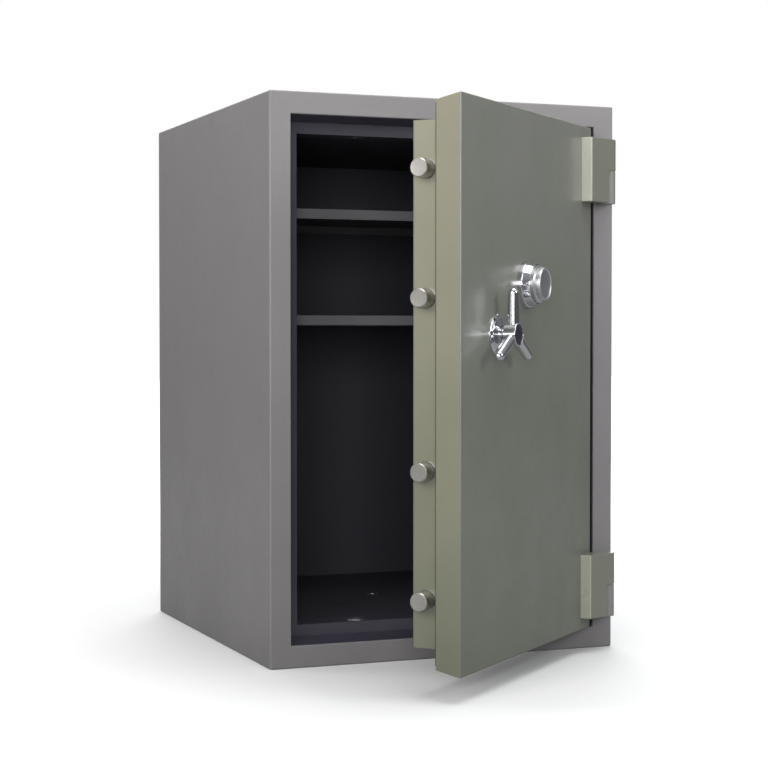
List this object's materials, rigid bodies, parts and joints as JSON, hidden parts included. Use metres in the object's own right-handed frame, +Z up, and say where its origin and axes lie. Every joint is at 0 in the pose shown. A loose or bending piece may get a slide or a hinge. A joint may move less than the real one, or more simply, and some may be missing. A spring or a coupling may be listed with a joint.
{
  "type": "safe",
  "caption": "Free-standing steel safe with a swing door on outside hinges, spoked handle, combination dial, round throw bolts, dark lining and shelves.",
  "frame": {"origin": "on the floor, at the middle of the body's footprint", "axes": "+X to the viewer's right, +Y towards the back, +Z up; the door is on the -Y side and is at its half-open rest angle"},
  "size_m": [0.704, 1.2006, 1.055],
  "materials": {
    "body_paint": "satin grey enamel",
    "door_paint": "satin olive-grey enamel",
    "jamb_paint": "gloss blue-black enamel",
    "liner_paint": "matt charcoal enamel",
    "shelf_paint": "satin dark grey enamel",
    "lug_paint": "satin light grey enamel",
    "bolt_steel": "fine turned",
    "plain_steel": "cold rolled",
    "hard_steel": "heat-treated",
    "handle_chrome": "polished",
    "dial_alloy": "spun satin",
    "cap_black": "gloss",
    "lock_zinc": "cast",
    "lock_brass": "machined",
    "seal_rubber": "expanding strip",
    "cast_fill": "cast mineral fill"
  },
  "bodies": {
    "safe_body": {"outer_shell": "body_paint", "base_plate": "body_paint", "barrier_fill": "cast_fill", "jamb_frame": "jamb_paint", "inner_liner": "liner_paint", "liner_floor": "liner_paint", "anchor_sleeve": "plain_steel", "shelf_upper": "shelf_paint", "shelf_lower": "shelf_paint", "shelf_brackets": "shelf_paint", "upper_hinge_lug": "lug_paint", "lower_hinge_lug": "lug_paint", "upper_hinge_pin": "hard_steel", "lower_hinge_pin": "hard_steel", "hinge_washers": "lock_brass"},
    "door": {"door_front_pan": "door_paint", "door_fill": "cast_fill", "hard_plate": "hard_steel", "door_plug_pan": "door_paint", "door_back_cover": "door_paint", "cover_screws": "plain_steel", "fire_seal": "seal_rubber", "dead_bar": "hard_steel", "dead_bar_screws": "hard_steel", "bolt_guides": "plain_steel", "rod_guides": "plain_steel", "upper_hinge_leaf": "door_paint", "lower_hinge_leaf": "door_paint", "handle_rosette": "handle_chrome", "spindle_bush": "lock_brass", "dial_ring": "handle_chrome", "dial_tube": "plain_steel", "lock_case": "lock_zinc", "lock_cover": "lock_zinc", "lock_screws": "plain_steel"},
    "side_bolt_set": {"side_bolt_1": "bolt_steel", "side_bolt_2": "bolt_steel", "side_bolt_3": "bolt_steel", "side_bolt_4": "bolt_steel", "bolt_carrier": "plain_steel", "carrier_screws": "plain_steel"},
    "top_bolt_set": {"top_bolt": "bolt_steel", "top_rod": "plain_steel"},
    "bottom_bolt_set": {"bottom_bolt": "bolt_steel", "bottom_rod": "plain_steel"},
    "handle": {"handle_hub": "handle_chrome", "handle_spokes": "handle_chrome", "handle_cap": "cap_black", "handle_spindle": "hard_steel", "spindle_nut": "plain_steel", "cam_plate": "plain_steel", "crank_pins": "hard_steel"},
    "dial_set": {"dial": "dial_alloy", "dial_spindle": "plain_steel", "drive_cam": "lock_brass"},
    "wheel_front": {"lock_wheel_1": "lock_brass"},
    "wheel_middle": {"lock_wheel_2": "lock_brass"},
    "wheel_rear": {"lock_wheel_3": "lock_brass"},
    "lock_bolt_set": {"lock_bolt": "lock_brass", "lock_lever": "lock_brass"}
  },
  "joints": [
    {"name": "door_swing", "type": "hinge", "parent": "safe_body", "child": "door", "pos_m": [0.326, -0.413, 0.5275], "axis": [0, 0, 1], "range_deg": [-41.7, 138.3]},
    {"name": "handle_turn", "type": "hinge", "parent": "door", "child": "handle", "pos_m": [-0.05118, -0.71423, 0.612], "axis": [-0.6652, 0.7466, 0], "range_deg": [0, 60]},
    {"name": "side_bolt_slide", "type": "slide", "parent": "door", "child": "side_bolt_set", "axis": [0.7466, 0.6652, 0], "range_m": [0, 0.031]},
    {"name": "top_bolt_slide", "type": "slide", "parent": "door", "child": "top_bolt_set", "axis": [0, 0, -1], "range_m": [0, 0.031]},
    {"name": "bottom_bolt_slide", "type": "slide", "parent": "door", "child": "bottom_bolt_set", "axis": [0, 0, 1], "range_m": [0, 0.031]},
    {"name": "dial_turn", "type": "hinge", "parent": "door", "child": "dial_set", "pos_m": [0.04589, -0.62775, 0.701], "axis": [-0.6652, 0.7466, 0], "continuous": true},
    {"name": "wheel_front_turn", "type": "hinge", "parent": "door", "child": "wheel_front", "pos_m": [0.00996, -0.58743, 0.701], "axis": [-0.6652, 0.7466, 0], "continuous": true},
    {"name": "wheel_middle_turn", "type": "hinge", "parent": "door", "child": "wheel_middle", "pos_m": [0.00764, -0.58482, 0.701], "axis": [-0.6652, 0.7466, 0], "continuous": true},
    {"name": "wheel_rear_turn", "type": "hinge", "parent": "door", "child": "wheel_rear", "pos_m": [0.00531, -0.5822, 0.701], "axis": [-0.6652, 0.7466, 0], "continuous": true},
    {"name": "lock_bolt_slide", "type": "slide", "parent": "door", "child": "lock_bolt_set", "axis": [0, 0, 1], "range_m": [-0.01, 0]}
  ],
  "couplings": [
    {"joint": "side_bolt_slide", "follows": "handle_turn", "m_per_rad": 0.029603},
    {"joint": "top_bolt_slide", "follows": "handle_turn", "m_per_rad": 0.029603},
    {"joint": "bottom_bolt_slide", "follows": "handle_turn", "m_per_rad": 0.029603}
  ]
}
